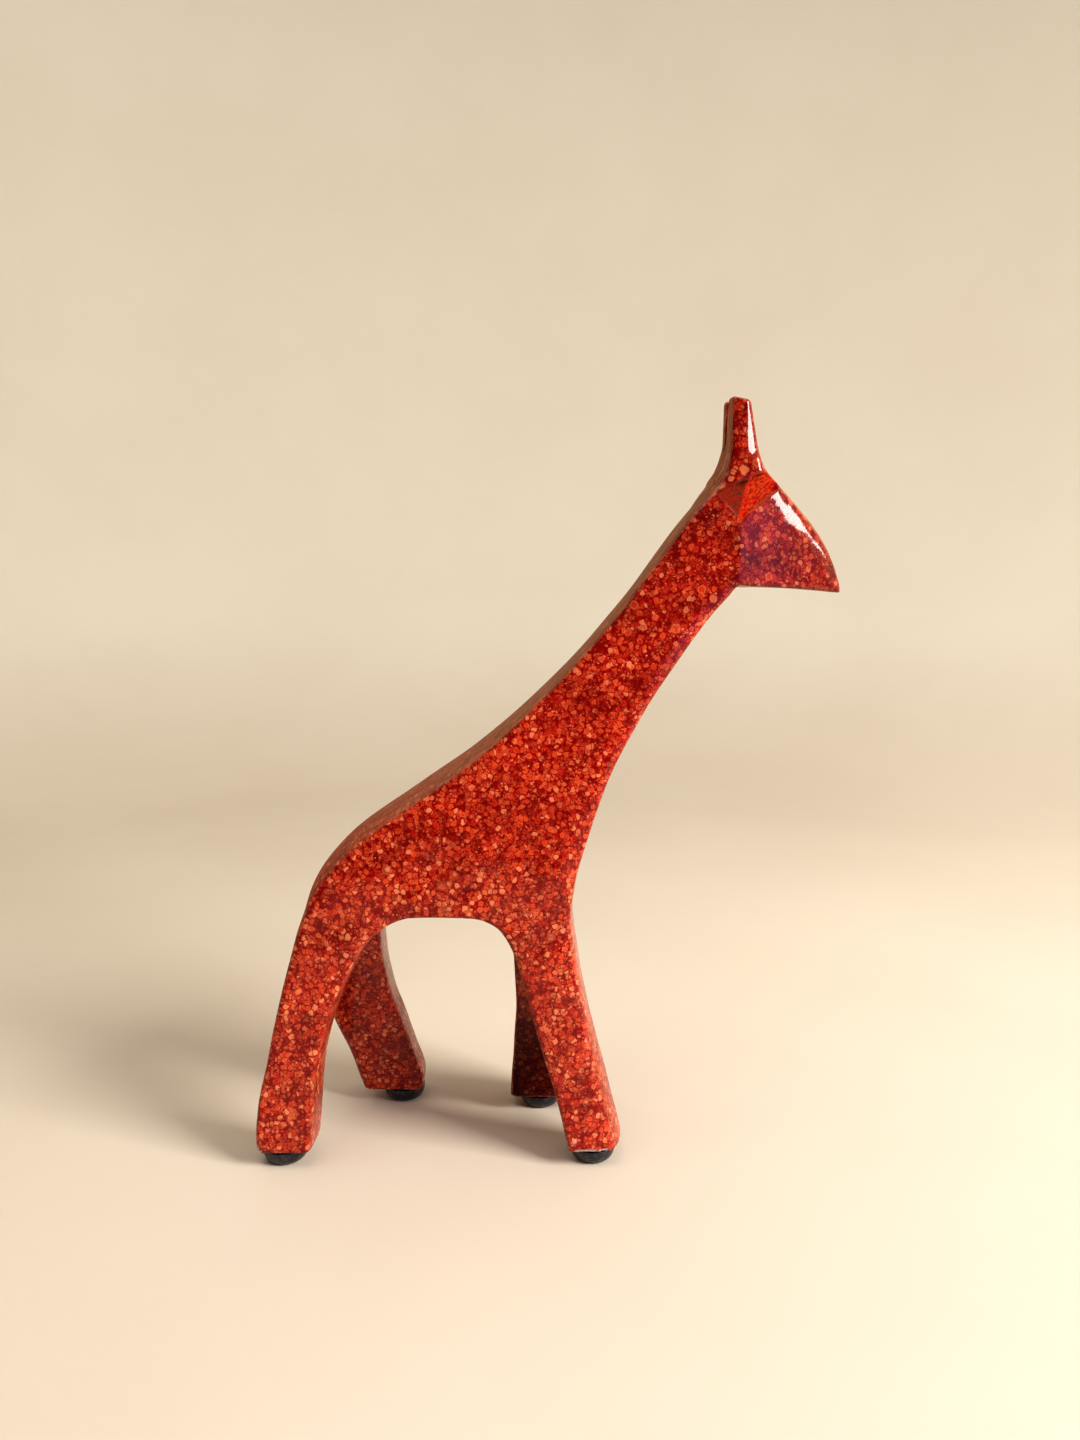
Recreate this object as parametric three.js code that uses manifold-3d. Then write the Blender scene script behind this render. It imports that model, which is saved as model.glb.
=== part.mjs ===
import * as THREE from 'three';
import { mergeVertices } from 'three/addons/utils/BufferGeometryUtils.js';
import Module from 'manifold-3d';

const wasm = await Module();
wasm.setup();

// ---------------------------------------------------------------- driving dimensions, mm
// Overall carving. X runs from the rump to the nose, Y across, Z up from the floor.
const carvingLength = 245;      // rear hoof to nose tip
const carvingHeight = 309;      // soles to horn tips

// Stick-on rubber feet
const footDiameter = 19;
const footHeight = 6.2;
const footFlatDiameter = 13;    // flat that stands on the floor
const footLip = 1.2;            // upright band under the pad
const padInset = 1;             // the pad stays this far inside the rim of its foot
const padThickness = 0.8;
const soleHeight = footHeight + padThickness;

// Thickness of the block across Y, from flank to flank
const bellyThickness = 51;
const withersThickness = 44;
const neckThickness = 36;
const napeThickness = 29;
const hornRootThickness = 24.4;
const hornTipThickness = 20;

// Head and horns
const noseThickness = 4.6;
const cheekInset = 0.1;         // the head starts just inside the flanks of the neck
const browThickness = 19;
const browTaper = 2.6;          // how much sooner than the cheeks the brow closes to a ridge
const browHeight = 0.93;        // share of the depth of the head where the brow turns over
const ridgeShare = 0.55;        // width of the nose ridge over that of the brow
const chinShare = 0.9;          // width of the chin over that of the cheeks
const hornGap = 6.5;            // between the two horns at the tips
const hornGapRoot = 4;
const hornGapDepth = 22;
const hornTipSlope = 0.2;       // the tips fall towards the nose
const cutReach = 26;            // the cutters end this far from the mid-plane, outside the stone
const cutterMargin = 2;         // how far the slot cutter starts above the tips

// Legs
const innerEdgeRound = 2.6;
const crotchHeight = 90;        // soles to where a left and a right leg meet
const outerSplayPower = 1.35;   // how fast the outer faces draw in towards the belly
const innerLeanPower = 1.6;     // how fast the inner faces lean together

// Fineness of the facets
const trunkSlices = 44;
const legSlices = 15;
const crownSteps = 8;
const roundSteps = 3;
const footSides = 32;
const footArcSteps = 6;
const slotArcSteps = 6;

// ---------------------------------------------------------------- outline of the carving
// Every outline row is [height above the soles, X of the edge, how far the crown of the edge
// stands out beyond its creases]. The block runs from the arch of the legs to the horn tips.
const backline = [
  [97.8, -101.3, 3.5],
  [104, -98.6, 4.7],
  [111, -94, 6.2],
  [121, -84.2, 8.4],
  [134, -68, 10.4],
  [149, -46.2, 10],
  [166, -24, 7.8],
  [182, -8, 4.7],
  [202, 11, 2.8],
  [225, 30.6, 2.4],
  [248, 48, 2.7],
  [259, 56.1, 2.6],
  [264.6, 61, 2.8],
  [270, 66.8, 4.8],
  [275.3, 74.3, 9],
  [280.6, 75, 6.6],
  [286.7, 74.4, 3.6],
  [293, 74, 1.5],
  [309, 73.7, 0.8],
];
const breastline = [
  [97.8, 7.1, 2.4],
  [109, 8.4, 2.4],
  [127, 13.5, 2],
  [150, 21.3, 1.8],
  [169, 30.2, 1.7],
  [189, 41.6, 1.6],
  [208, 54.8, 1.6],
  [222, 65.2, 1.5],
  [231, 73.3, 1.2],
  [236, 76.8, 0.8],
  [262, 79, 0.8],
  [276, 84, 0.8],
  [284, 84.6, 0.8],
  [292, 83.4, 0.8],
  [309, 80.6, 0.6],
];
// Head rows run along X: [X, height of the chin, height of the nose ridge]
const headProfile = [
  [71, 238, 262],
  [76, 234.6, 276],
  [80, 233.4, 283],
  [84, 233.2, 286],
  [86.5, 233.2, 284],
  [89, 233.1, 280.5],
  [94, 232.9, 275],
  [101.5, 232.5, 267.5],
  [109.5, 231.8, 258.5],
  [115, 231.3, 250.5],
  [119, 230.9, 242],
  [122.5, 230.7, 232],
];

// Leg rows are [height, X of the edge, stand-out of the crown]. Side -1 is the right flank.
const legs = {
  rear_right: {
    side: -1,
    outerSplay: 37,
    hoofDepth: 21,
    footShift: -0.8,
    rear: [[0, -122.4, 0.5], [9, -122.6, 0.6], [38, -117.8, 1], [68, -111, 1.8], [88, -105.2, 2.7],
      [97.8, -101.3, 3.5]],
    front: [[0, -101.2, 1.5], [29, -99.5, 1.7], [54, -94.2, 2], [75, -84.5, 2.1], [84, -79.4, 2],
      [91.5, -71.7, 1.7], [96.8, -60.5, 1], [97.8, -49, 0]],
  },
  front_right: {
    side: -1,
    outerSplay: 36.5,
    hoofDepth: 22.5,
    footShift: 2,
    rear: [[0, 7.9, 0.4], [20, 3, 0.6], [48, -5.3, 1], [69, -11.1, 1.4], [81, -14.7, 1.6],
      [90.7, -20.2, 1.6], [95.9, -28.7, 1], [97.8, -40, 0]],
    front: [[0, 23.6, 7], [21, 19.9, 5.4], [51, 13.7, 3.4], [80, 8.9, 2.4], [97.8, 7.1, 2.4]],
  },
  rear_left: {
    side: 1,
    outerSplay: 38.5,
    hoofDepth: 20,
    footShift: 4.6,
    rear: [[0, -86.4, 0.5], [22, -93.3, 0.6], [36, -98.4, 0.8], [64, -103.6, 1.4], [88, -105.2, 2.7],
      [97.8, -101.3, 3.5]],
    front: [[0, -61, 1.2], [4, -60.4, 1.2], [18, -64.3, 1.2], [36, -69.6, 1.2], [50, -73.7, 1.3],
      [68, -76.6, 1.4], [82, -77.2, 1.6], [90, -73.4, 1.4], [95.4, -64, 1], [97.8, -49, 0]],
  },
  front_left: {
    side: 1,
    outerSplay: 32.5,
    hoofDepth: 21,
    footShift: 0.2,
    rear: [[0, -17.8, 0.4], [23, -16, 0.6], [47, -14.5, 0.8], [68, -15, 1], [81, -16.6, 1.4],
      [90.7, -21, 1.6], [95.9, -29.5, 1], [97.8, -40, 0]],
    front: [[0, 8.6, 3], [30, 8.2, 3], [60, 8, 2.8], [97.8, 7.1, 2.4]],
  },
};

// Cuts beside each ear: [X, height, distance of the cut floor from the mid-plane]
const earGroove = [
  [75.8, 259.4, 15.6],
  [92.8, 272.6, 8.2],
  [90.5, 280, 7.2],
  [81.2, 277.8, 9.6],
];
const earScoop = [
  [67, 270.8, 15.2],
  [77.8, 259, 15.2],
  [84, 275.6, 10.4],
  [78, 276.2, 10.4],
];

// ---------------------------------------------------------------- outline readers
function hermite(knots, column, height) {
  // Smooth curve through the rows, never overshooting a row
  const last = knots.length - 1;
  if (height <= knots[0][0]) {
    return knots[0][column];
  }
  if (height >= knots[last][0]) {
    return knots[last][column];
  }
  let i = 0;
  while (knots[i + 1][0] < height) {
    i += 1;
  }
  const grade = (k) => (knots[k + 1][column] - knots[k][column]) / (knots[k + 1][0] - knots[k][0]);
  const tangent = (k) => {
    if (k === 0) {
      return grade(0);
    }
    if (k === last) {
      return grade(last - 1);
    }
    const below = grade(k - 1);
    const above = grade(k);
    if (below * above <= 0) {
      return 0;
    }
    return (2 * below * above) / (below + above);
  };
  const span = knots[i + 1][0] - knots[i][0];
  const t = (height - knots[i][0]) / span;
  const startWeight = (1 + 2 * t) * (1 - t) * (1 - t);
  const endWeight = t * t * (3 - 2 * t);
  const startPull = t * (1 - t) * (1 - t) * span;
  const endPull = t * t * (t - 1) * span;
  return startWeight * knots[i][column] + endWeight * knots[i + 1][column]
    + startPull * tangent(i) + endPull * tangent(i + 1);
}

const archHeight = backline[0][0];
const hornTipHeight = backline[backline.length - 1][0];
const noseX = headProfile[headProfile.length - 1][0];
const rearHoofX = Math.min(...legs.rear_right.rear.map((row) => row[1] - row[2]));

// The rows are stretched so that the carving takes its overall length and height
const stretchX = carvingLength / (noseX - rearHoofX);
const stretchZ = carvingHeight / hornTipHeight;

function place(x, y, height) {
  return new THREE.Vector3(x * stretchX, y, soleHeight + height * stretchZ);
}

const withersHeight = 176;
const neckHeight = 228;
const napeHeight = 276;
const hornRootHeight = 284;
const flankRows = [
  [0, bellyThickness / 2],
  [archHeight, bellyThickness / 2],
  [withersHeight, withersThickness / 2],
  [neckHeight, neckThickness / 2],
  [napeHeight, napeThickness / 2],
  [hornRootHeight, hornRootThickness / 2],
  [hornTipHeight, hornTipThickness / 2],
];

// ---------------------------------------------------------------- solids from sections
function loft(rings) {
  // Rings run anticlockwise seen from the end the stack grows towards
  const count = rings[0].length;
  const vertices = rings.flat();
  const indices = [];
  for (let r = 0; r + 1 < rings.length; r += 1) {
    for (let i = 0; i < count; i += 1) {
      const j = (i + 1) % count;
      const low = r * count;
      const high = low + count;
      indices.push(low + i, low + j, high + j);
      indices.push(low + i, high + j, high + i);
    }
  }
  for (let i = 1; i + 1 < count; i += 1) {
    indices.push(0, i + 1, i);
    const top = (rings.length - 1) * count;
    indices.push(top, top + i, top + i + 1);
  }
  const geometry = new THREE.BufferGeometry();
  geometry.setAttribute('position', new THREE.Float32BufferAttribute(
    vertices.flatMap((p) => [p.x, p.y, p.z]),
    3,
  ));
  geometry.setIndex(indices);
  return geometry;
}

function toManifold(geometry) {
  const bare = geometry.clone();
  bare.deleteAttribute('normal');
  bare.deleteAttribute('uv');
  const welded = mergeVertices(bare, 1e-4);
  return new wasm.Manifold(new wasm.Mesh({
    numProp: 3,
    vertProperties: new Float32Array(welded.attributes.position.array),
    triVerts: new Uint32Array(welded.index.array),
  }));
}

function toGeometry(manifold) {
  const mesh = manifold.getMesh();
  const geometry = new THREE.BufferGeometry();
  geometry.setAttribute('position', new THREE.BufferAttribute(new Float32Array(mesh.vertProperties), 3));
  geometry.setIndex(new THREE.BufferAttribute(new Uint32Array(mesh.triVerts), 1));
  geometry.computeVertexNormals();
  return geometry;
}

// ---------------------------------------------------------------- trunk, neck and horns
function trunkRing(height) {
  // Flat flanks, joined over the back and the breast by half-ellipse crowns
  const half = hermite(flankRows, 1, height);
  const rear = hermite(backline, 1, height);
  const front = hermite(breastline, 1, height);
  const rearCrown = hermite(backline, 2, height);
  const frontCrown = hermite(breastline, 2, height);
  // Up the horns the rings tilt more and more until they lie along the tips
  const tilt = hornTipSlope * Math.max(0, height - hornRootHeight) / (hornTipHeight - hornRootHeight);
  const ring = [];
  for (let i = 0; i <= crownSteps; i += 1) {
    const turn = (Math.PI * i) / crownSteps;
    const x = front + frontCrown * Math.sin(turn);
    ring.push(place(x, -half * Math.cos(turn), height - tilt * (x - rear)));
  }
  for (let i = 0; i <= crownSteps; i += 1) {
    const turn = (Math.PI * i) / crownSteps;
    ring.push(place(rear - rearCrown * Math.sin(turn), half * Math.cos(turn), height));
  }
  return ring;
}

function makeTrunk() {
  const rings = [];
  for (let i = 0; i <= trunkSlices; i += 1) {
    rings.push(trunkRing(archHeight + ((hornTipHeight - archHeight) * i) / trunkSlices));
  }
  return loft(rings);
}

// ---------------------------------------------------------------- legs
function legEdges(leg, height) {
  const spread = height / archHeight;
  const innerReach = Math.min(1, height / crotchHeight);
  const outerTop = bellyThickness / 2;
  // The splay dies away towards the belly; the inner faces lean together to the crotch
  const outer = outerTop + (leg.outerSplay - outerTop) * (1 - spread) ** outerSplayPower;
  const innerSole = leg.outerSplay - leg.hoofDepth;
  return {
    outer,
    inner: innerSole * (1 - innerReach ** innerLeanPower) - innerEdgeRound * innerReach,
    rear: hermite(leg.rear, 1, height),
    front: hermite(leg.front, 1, height),
    rearCrown: hermite(leg.rear, 2, height),
    frontCrown: hermite(leg.front, 2, height),
  };
}

function legRing(leg, height) {
  // Flat outer face, quarter-ellipse front and rear faces, inner corners rounded
  const edge = legEdges(leg, height);
  const depth = edge.outer - edge.inner - innerEdgeRound;
  const quarter = Math.PI / 2;
  const ring = [];
  const add = (x, y) => ring.push(place(x, leg.side * y, height));
  const halfSteps = crownSteps / 2;
  for (let i = 0; i <= halfSteps; i += 1) {
    const turn = (quarter * i) / halfSteps;
    add(edge.front + edge.frontCrown * Math.sin(turn), edge.outer - depth * (1 - Math.cos(turn)));
  }
  for (let i = 1; i <= roundSteps; i += 1) {
    const turn = (quarter * i) / roundSteps;
    add(
      edge.front + edge.frontCrown - innerEdgeRound * (1 - Math.cos(turn)),
      edge.inner + innerEdgeRound * (1 - Math.sin(turn)),
    );
  }
  for (let i = roundSteps; i >= 1; i -= 1) {
    const turn = (quarter * i) / roundSteps;
    add(
      edge.rear - edge.rearCrown + innerEdgeRound * (1 - Math.cos(turn)),
      edge.inner + innerEdgeRound * (1 - Math.sin(turn)),
    );
  }
  for (let i = halfSteps; i >= 0; i -= 1) {
    const turn = (quarter * i) / halfSteps;
    add(edge.rear - edge.rearCrown * Math.sin(turn), edge.outer - depth * (1 - Math.cos(turn)));
  }
  return leg.side < 0 ? ring : ring.reverse();
}

function makeLeg(leg) {
  const rings = [];
  for (let i = 0; i <= legSlices; i += 1) {
    // Slices crowd together where the arch turns level
    const left = 1 - i / legSlices;
    rings.push(legRing(leg, archHeight * (1 - left * left)));
  }
  return loft(rings);
}

// ---------------------------------------------------------------- head
function headRing(row) {
  const [x, chin, ridge] = row;
  const first = headProfile[1][0];
  const along = Math.min(1, Math.max(0, (x - first) / (noseX - first)));
  const rise = ridge - chin;
  // The cheeks leave the flanks of the neck and close in a straight line on the nose
  const cheek = (share) => {
    const flank = hermite(flankRows, 1, chin + rise * share) - cheekInset;
    return flank + (noseThickness / 2 - flank) * along;
  };
  const narrow = Math.min(1, along * browTaper);
  const brow = Math.min(cheek(1), (browThickness + (noseThickness - browThickness) * narrow) / 2);
  const jowl = 0.05;
  const jaw = 0.35;
  const temple = 0.7;
  const templeFullness = 0.75;
  const side = [
    [cheek(0) * chinShare, 0],
    [cheek(jowl), rise * jowl],
    [cheek(jaw), rise * jaw],
    [cheek(temple) * templeFullness + brow * (1 - templeFullness), rise * temple],
    [brow, rise * browHeight],
    [brow * ridgeShare, rise],
  ];
  const right = side.map(([half, share]) => place(x, -half, chin + share));
  const left = side.map(([half, share]) => place(x, half, chin + share));
  return [...right.reverse(), ...left];
}

function makeHead() {
  return loft(headProfile.map((row) => headRing(row)));
}

// ---------------------------------------------------------------- cuts
function makeHornGap() {
  // Slot with a round bottom, cut through along X
  const top = soleHeight + hornTipHeight * stretchZ;
  const roundCentre = hornGapRoot / 2 - hornGapDepth;
  const shape = new THREE.Shape();
  shape.moveTo(hornGap / 2, cutterMargin);
  shape.lineTo(-hornGap / 2, cutterMargin);
  shape.lineTo(-hornGapRoot / 2, roundCentre);
  shape.absarc(0, roundCentre, hornGapRoot / 2, Math.PI, 2 * Math.PI, false);
  shape.closePath();
  const length = 2 * cutReach;
  const slot = new THREE.ExtrudeGeometry(shape, { depth: length, bevelEnabled: false, curveSegments: slotArcSteps });
  slot.rotateX(Math.PI / 2);
  slot.rotateZ(Math.PI / 2);
  slot.translate(hermite(backline, 1, hornRootHeight) * stretchX - length / 2, 0, top);
  return slot;
}

function makeScoop(rows, side) {
  // Prism that removes everything outside its sloping floor
  const floor = rows.map(([x, height, depth]) => place(x, side * depth, height));
  const open = rows.map(([x, height]) => place(x, side * cutReach, height));
  return side < 0 ? loft([floor, open]) : loft([floor.slice().reverse(), open.slice().reverse()]);
}

// ---------------------------------------------------------------- the one-piece carving
function makeCarving() {
  let carving = toManifold(makeTrunk());
  for (const leg of Object.values(legs)) {
    carving = carving.add(toManifold(makeLeg(leg)));
  }
  carving = carving.add(toManifold(makeHead()));
  carving = carving.subtract(toManifold(makeHornGap()));
  for (const side of [-1, 1]) {
    carving = carving.subtract(toManifold(makeScoop(earGroove, side)));
    carving = carving.subtract(toManifold(makeScoop(earScoop, side)));
  }
  return toGeometry(carving);
}

// ---------------------------------------------------------------- feet and their pads
function footCentre(leg) {
  const rear = leg.rear[0][1];
  const front = leg.front[0][1];
  return {
    x: ((rear + front) / 2) * stretchX + leg.footShift,
    y: leg.side * (leg.outerSplay - leg.hoofDepth / 2),
  };
}

function makeFoot(leg) {
  // Dome that widens upwards from its flat, then a short upright lip
  const flat = footFlatDiameter / 2;
  const reach = footDiameter / 2 - flat;
  const rise = footHeight - footLip;
  const profile = [new THREE.Vector2(0, 0)];
  for (let i = 0; i <= footArcSteps; i += 1) {
    const turn = ((Math.PI / 2) * i) / footArcSteps;
    profile.push(new THREE.Vector2(flat + reach * Math.sin(turn), rise * (1 - Math.cos(turn))));
  }
  profile.push(new THREE.Vector2(footDiameter / 2, footHeight));
  profile.push(new THREE.Vector2(0, footHeight));
  return turned(profile, footCentre(leg));
}

function makePad(leg) {
  const radius = footDiameter / 2 - padInset;
  const profile = [
    new THREE.Vector2(0, footHeight),
    new THREE.Vector2(radius, footHeight),
    new THREE.Vector2(radius, soleHeight),
    new THREE.Vector2(0, soleHeight),
  ];
  return turned(profile, footCentre(leg));
}

function turned(profile, centre) {
  const lathe = new THREE.LatheGeometry(profile, footSides);
  lathe.rotateX(Math.PI / 2);
  lathe.translate(centre.x, centre.y, 0);
  return toGeometry(toManifold(lathe));
}

// ---------------------------------------------------------------- materials
function dyedStone() {
  return new THREE.MeshStandardMaterial({ color: 0xa81d10, roughness: 0.18, metalness: 0 });
}

function blackRubber() {
  return new THREE.MeshStandardMaterial({ color: 0x14161c, roughness: 0.35, metalness: 0 });
}

function adhesiveFilm() {
  return new THREE.MeshStandardMaterial({ color: 0x2a2a2e, roughness: 0.7, metalness: 0 });
}

// ---------------------------------------------------------------- assembly
const pieces = [['carved_body', makeCarving(), dyedStone()]];
for (const [where, leg] of Object.entries(legs)) {
  pieces.push([`pad_${where}`, makePad(leg), adhesiveFilm()]);
  pieces.push([`foot_${where}`, makeFoot(leg), blackRubber()]);
}

// The origin goes to the middle of the object's own box, at floor level
const box = new THREE.Box3();
for (const [, geometry] of pieces) {
  geometry.computeBoundingBox();
  box.union(geometry.boundingBox);
}
const middle = box.getCenter(new THREE.Vector3());

const group = new THREE.Group();
group.name = 'carved_giraffe_statue';
for (const [name, geometry, material] of pieces) {
  geometry.translate(-middle.x, -middle.y, 0);
  const mesh = new THREE.Mesh(geometry, material);
  mesh.name = name;
  group.add(mesh);
}

export default group;
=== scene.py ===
import math

import bpy
import numpy as np
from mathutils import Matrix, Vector


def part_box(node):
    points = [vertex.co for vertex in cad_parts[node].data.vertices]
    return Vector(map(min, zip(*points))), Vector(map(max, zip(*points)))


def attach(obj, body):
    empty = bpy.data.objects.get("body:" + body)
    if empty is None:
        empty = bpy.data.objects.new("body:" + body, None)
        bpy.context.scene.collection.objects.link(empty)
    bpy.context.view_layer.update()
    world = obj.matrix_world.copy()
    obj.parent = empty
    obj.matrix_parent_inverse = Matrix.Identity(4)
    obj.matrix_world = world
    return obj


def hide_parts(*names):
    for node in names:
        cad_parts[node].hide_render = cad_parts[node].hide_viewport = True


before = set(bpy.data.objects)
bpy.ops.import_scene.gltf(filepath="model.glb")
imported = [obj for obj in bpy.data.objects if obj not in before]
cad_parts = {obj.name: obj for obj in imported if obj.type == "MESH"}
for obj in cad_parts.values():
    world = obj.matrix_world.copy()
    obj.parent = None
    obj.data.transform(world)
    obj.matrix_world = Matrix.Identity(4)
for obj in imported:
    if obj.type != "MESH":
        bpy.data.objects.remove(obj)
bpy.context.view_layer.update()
millimetre = 0.001
bodyLow, bodyHigh = [np.array(corner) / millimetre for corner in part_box("carved_body")]


def smoothMax(a, b, width):
    # the larger of two fields, with the corner between them rounded over the given width
    near = np.maximum(width - np.abs(a - b), 0.0) / width
    return np.maximum(a, b) + near * near * width * 0.25


def smoothMin(a, b, width):
    return -smoothMax(-a, -b, width)


def smoothStep(low, high, value):
    t = np.clip((value - low) / (high - low), 0.0, 1.0)
    return t * t * (3.0 - 2.0 * t)


def railOf(rows, column=1):
    # cubic through the rows with harmonic-mean tangents, so it never overshoots a row;
    # returns fine stations, values and slopes
    table = np.array(rows, float)
    at, value = table[:, 0], table[:, column]
    grade = np.diff(value) / np.diff(at)
    pull = np.empty_like(value)
    pull[0], pull[-1] = grade[0], grade[-1]
    product = grade[:-1] * grade[1:]
    total = np.where(product > 0, grade[:-1] + grade[1:], 1.0)
    pull[1:-1] = np.where(product > 0, 2.0 * product / total, 0.0)
    fine = np.linspace(at[0], at[-1], 2400)
    i = np.clip(np.searchsorted(at, fine, side="right") - 1, 0, len(at) - 2)
    span = at[i + 1] - at[i]
    t = (fine - at[i]) / span
    curve = ((1 + 2 * t) * (1 - t) ** 2 * value[i] + t * t * (3 - 2 * t) * value[i + 1]
             + t * (1 - t) ** 2 * span * pull[i] + t * t * (t - 1) * span * pull[i + 1])
    return fine, curve, np.gradient(curve, fine)


def onRail(rail, at):
    return np.interp(at, rail[0], rail[1])


def steepness(rail, at):
    # turns a sideways gap to a sloping edge into the true distance from it
    return 1.0 / np.sqrt(1.0 + np.interp(at, rail[0], rail[2]) ** 2)


# outline rows of the carving are [height above the soles, X of the edge, crown], in mm
backRows = [
    [97.8, -101.3, 3.5], [104, -98.6, 4.7], [111, -94, 6.2], [121, -84.2, 8.4], [134, -68, 10.4],
    [149, -46.2, 10], [166, -24, 7.8], [182, -8, 4.7], [202, 11, 2.8], [225, 30.6, 2.4],
    [248, 48, 2.7], [259, 56.1, 2.6], [264.6, 61, 2.8], [270, 66.8, 4.8], [275.3, 74.3, 9],
    [280.6, 75, 6.6], [286.7, 74.4, 3.6], [293, 74, 1.5], [309, 73.7, 0.8],
]
breastRows = [
    [97.8, 7.1, 2.4], [109, 8.4, 2.4], [127, 13.5, 2], [150, 21.3, 1.8], [169, 30.2, 1.7],
    [189, 41.6, 1.6], [208, 54.8, 1.6], [222, 65.2, 1.5], [231, 73.3, 1.2], [236, 76.8, 0.8],
    [262, 79, 0.8], [276, 84, 0.8], [284, 84.6, 0.8], [292, 83.4, 0.8], [309, 80.6, 0.6],
]
legRows = {
    "rear_right": {
        "rear": [[0, -122.4, 0.5], [9, -122.6, 0.6], [38, -117.8, 1], [68, -111, 1.8],
                 [88, -105.2, 2.7]],
        "front": [[0, -101.2, 1.5], [29, -99.5, 1.7], [54, -94.2, 2], [75, -84.5, 2.1],
                  [84, -79.4, 2], [91.5, -71.7, 1.7], [96.8, -60.5, 1], [97.8, -49, 0]],
    },
    "front_right": {
        "rear": [[0, 7.9, 0.4], [20, 3, 0.6], [48, -5.3, 1], [69, -11.1, 1.4], [81, -14.7, 1.6],
                 [90.7, -20.2, 1.6], [95.9, -28.7, 1], [97.8, -40, 0]],
        "front": [[0, 23.6, 7], [21, 19.9, 5.4], [51, 13.7, 3.4], [80, 8.9, 2.4]],
    },
    "rear_left": {
        "rear": [[0, -86.4, 0.5], [22, -93.3, 0.6], [36, -98.4, 0.8], [64, -103.6, 1.4],
                 [88, -105.2, 2.7]],
        "front": [[0, -61, 1.2], [4, -60.4, 1.2], [18, -64.3, 1.2], [36, -69.6, 1.2],
                  [50, -73.7, 1.3], [68, -76.6, 1.4], [82, -77.2, 1.6], [90, -73.4, 1.4],
                  [95.4, -64, 1], [97.8, -49, 0]],
    },
    "front_left": {
        "rear": [[0, -17.8, 0.4], [23, -16, 0.6], [47, -14.5, 0.8], [68, -15, 1], [81, -16.6, 1.4],
                 [90.7, -21, 1.6], [95.9, -29.5, 1], [97.8, -40, 0]],
        "front": [[0, 8.6, 3], [30, 8.2, 3], [60, 8, 2.8]],
    },
}
headRows = [   # X, chin, ridge, how far the crest of the ridge stands over its creases
    [71, 238, 262, 3], [76, 234.6, 276, 3.5], [80, 233.4, 283, 4], [84, 233.2, 286, 4],
    [86.5, 233.2, 284, 3.8], [89, 233.1, 280.5, 3], [94, 232.9, 275, 1.8], [101.5, 232.5, 267.5, 1.5],
    [109.5, 231.8, 258.5, 1.6], [115, 231.3, 250.5, 1.7], [119, 230.9, 242, 1.8],
    [122.5, 230.7, 232, 1.6],
]
# height, half thickness of the block
flankRows = [[97.8, 25.5], [176, 22], [228, 18], [276, 14.5], [284, 12.9], [309, 10]]

carving = {
    "noseTip": 122.5,
    "tailEnd": -123.2,
    "headBack": 71.0,        # the head block starts here, inside the neck
    # ranges over which one shape passes into another, as X or as heights
    "outerSpan": (-75.0, -10.0),       # rear leg to fore leg, outer faces
    "innerSpan": (-70.0, -20.0),       # the same, inner faces
    "frontSoftFade": (238.0, 222.0),   # the softened front ends below the cheek
    "browRise": (272.0, 278.0),
    "hornRise": (283.0, 290.0),
    "bevelStart": (84.0, 98.0),
    "bevelEnd": (124.0, 108.0),
    "gridX": (-126.3, 126.0, 64.0),    # low, high, and where the lines come closer together
    "gridY": (-41.3, 42.5),
    "gridZ": (-2.4, 312.5, 255.0),
    "splay": {"rear_right": 37.0, "front_right": 36.5, "rear_left": 38.5, "front_left": 32.5},
    "hoofDepth": {"rear_right": 21.0, "front_right": 22.5, "rear_left": 20.0, "front_left": 21.0},
    "bellyHalf": 25.5,
    "archHeight": 97.8,
    "crotchHeight": 90.0,
    "innerLean": 2.6,
    "splayPower": 1.35,
    "leanPower": 1.6,
    "hornTip": 309.0,
    "hornTipRise": 0.7,      # the highest edge of the tips stands this far over hornTip
    "hornTipFall": 0.2,      # fall of the tips per mm towards the nose
    "hornBack": 73.7,
    "hornFold": 79.4,        # the ear face turns away in front of this line
    "hornTurn": 0.42,        # how much the fore half of the ear face is turned away
    "hornGapRoot": 2.0,
    "hornGapTip": 3.25,
    "hornGapDepth": 22.0,
    "cheekStart": 77.5,
    "cheekSoftness": 3.6,    # rounds the line where the cheek leaves the neck
    "browStart": 6.0,        # how much further forward the head starts beside the ears
    "noseHalf": 2.3,
    "frontSoftness": 1.0,    # the flanks ease back this far where they meet the breast
    "frontSoftReach": 9.0,
    "ridgeLean": 0.72,       # turns a height below the ridge into a distance from it
    "cheekBevel": 2.4,
    "cheekBevelReach": 11.0,
    "creaseRound": 1.5,
    "innerRound": 3.6,
    "cutCorner": 0.6,
    "earCutRound": 0.9,
    "handWave": 0.14,
    "fullness": 0.15,        # makes up for what the rounding takes off the outline
    "gridStep": 1.16,
    "fineStep": 0.72,
}
# cuts beside each ear: corners as X, height, and the distance of the cut's floor from the middle
earGroove = [[75.8, 259.4, 15.6], [92.8, 272.6, 8.2], [90.5, 280, 7.2], [81.2, 277.8, 9.6]]
earScoop = [[67, 270.8, 15.2], [77.8, 259, 15.2], [84, 275.6, 10.4], [78, 276.2, 10.4]]
# chips knocked off the hoof edges: X, Y, height, then half lengths along X, Y and Z
hoofChips = [
    [-123.2, -37.0, 0.3, 1.7, 1.5, 2.6],
    [14.6, -37.0, -0.2, 4.4, 1.6, 1.2],
    [9.4, -37.0, 4.6, 0.8, 0.9, 0.8],
    [22.0, -36.2, 0.0, 1.6, 1.5, 1.0],
]

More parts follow.
